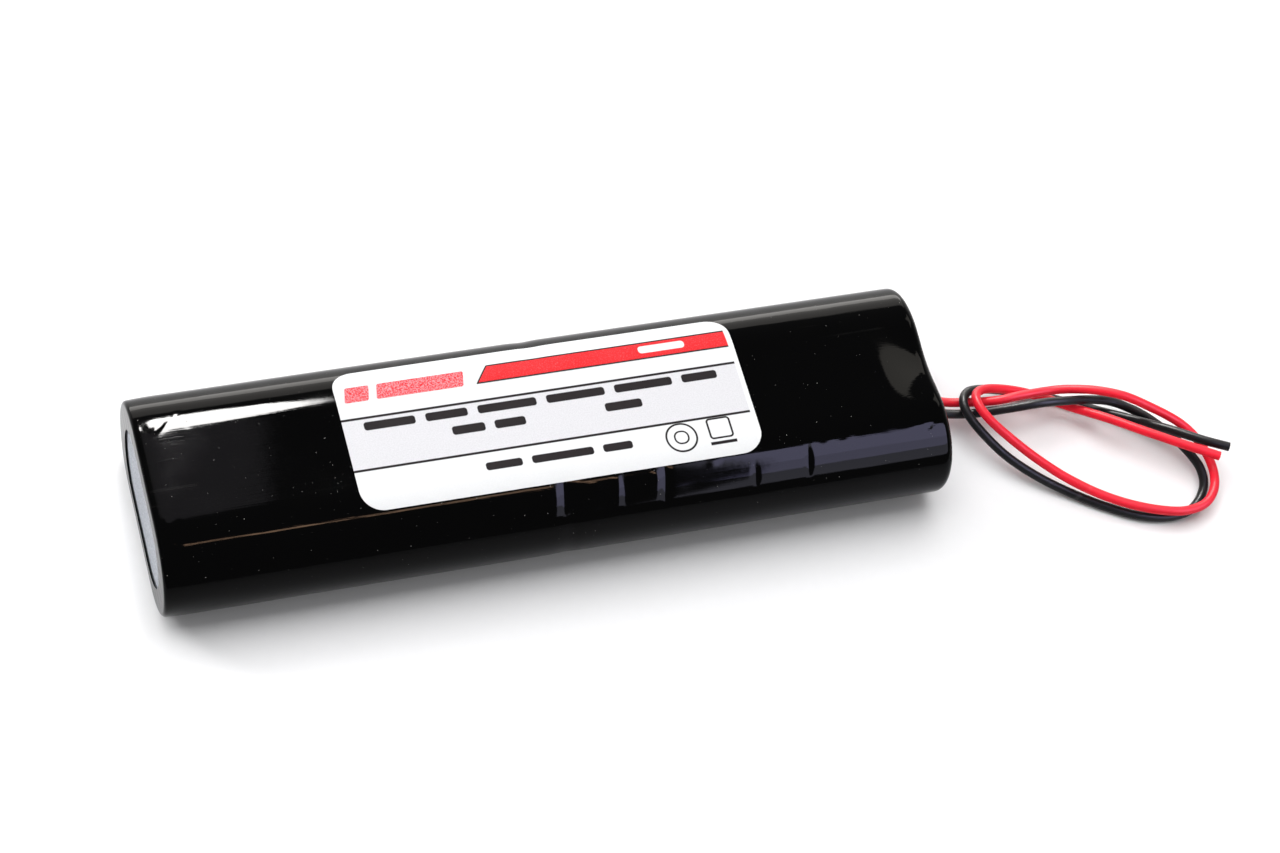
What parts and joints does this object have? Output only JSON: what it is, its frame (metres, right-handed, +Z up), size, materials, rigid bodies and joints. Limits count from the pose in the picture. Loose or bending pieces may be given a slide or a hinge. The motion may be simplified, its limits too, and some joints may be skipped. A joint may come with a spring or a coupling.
{
  "type": "battery pack",
  "caption": "Flat rectangular rechargeable pack of round cells in two rows under a glossy black shrink sleeve, with a wrapped sticker and two free leads at one end.",
  "frame": {"origin": "on the surface the pack rests on, under the middle of the pack body without its free leads", "axes": "+X along the pack towards the end where the leads leave, +Z up through the flat top with the sticker, +Y towards the back row of cells"},
  "size_m": [0.1864, 0.0475, 0.0192],
  "materials": {
    "black_film": "glossy shrink film",
    "label_paper": "coated white sticker",
    "grey_card": "fibrous grey insulating card",
    "steel": "nickel-plated steel",
    "nickel": "bright nickel strip",
    "cell_jacket": "thin shrunk jacket",
    "gasket_plastic": "moulded polypropylene",
    "white_washer": "pressed paper",
    "winding": "wound foil and separator",
    "circuit_board": "glass-fibre board with solder mask",
    "component_plastic": "moulded epoxy",
    "resistor_alloy": "metal alloy strip",
    "red_insulation": "satin PVC",
    "black_insulation": "satin PVC",
    "yellow_insulation": "satin PVC"
  },
  "bodies": {
    "root": {"back_left_cell_can": "steel", "back_left_cell_centre_pin": "steel", "back_left_cell_gasket": "gasket_plastic", "back_left_cell_jacket": "cell_jacket", "back_left_cell_positive_cap": "nickel", "back_left_cell_vent_disc": "steel", "back_left_cell_washer": "white_washer", "back_left_cell_winding": "winding", "back_middle_link": "nickel", "back_middle_tap_wire": "yellow_insulation", "back_right_cell_can": "steel", "back_right_cell_centre_pin": "steel", "back_right_cell_gasket": "gasket_plastic", "back_right_cell_jacket": "cell_jacket", "back_right_cell_positive_cap": "nickel", "back_right_cell_vent_disc": "steel", "back_right_cell_washer": "white_washer", "back_right_cell_winding": "winding", "black_lead": "black_insulation", "black_lead_inner": "black_insulation", "control_chip": "component_plastic", "current_sense_resistor": "resistor_alloy", "front_left_cell_can": "steel", "front_left_cell_centre_pin": "steel", "front_left_cell_gasket": "gasket_plastic", "front_left_cell_jacket": "cell_jacket", "front_left_cell_positive_cap": "nickel", "front_left_cell_vent_disc": "steel", "front_left_cell_washer": "white_washer", "front_left_cell_winding": "winding", "front_middle_link": "nickel", "front_middle_tap_wire": "yellow_insulation", "front_right_cell_can": "steel", "front_right_cell_centre_pin": "steel", "front_right_cell_gasket": "gasket_plastic", "front_right_cell_jacket": "cell_jacket", "front_right_cell_positive_cap": "nickel", "front_right_cell_vent_disc": "steel", "front_right_cell_washer": "white_washer", "front_right_cell_winding": "winding", "label": "label_paper", "left_cell_link": "nickel", "left_end_card": "grey_card", "left_tap_wire": "yellow_insulation", "lower_valley_card": "grey_card", "mosfet_1": "component_plastic", "mosfet_2": "component_plastic", "negative_end_tab": "nickel", "positive_end_tab": "nickel", "protection_board": "circuit_board", "red_lead": "red_insulation", "red_lead_inner": "red_insulation", "right_end_card": "grey_card", "shrink_sleeve": "black_film", "upper_valley_card": "grey_card"}
  },
  "joints": []
}
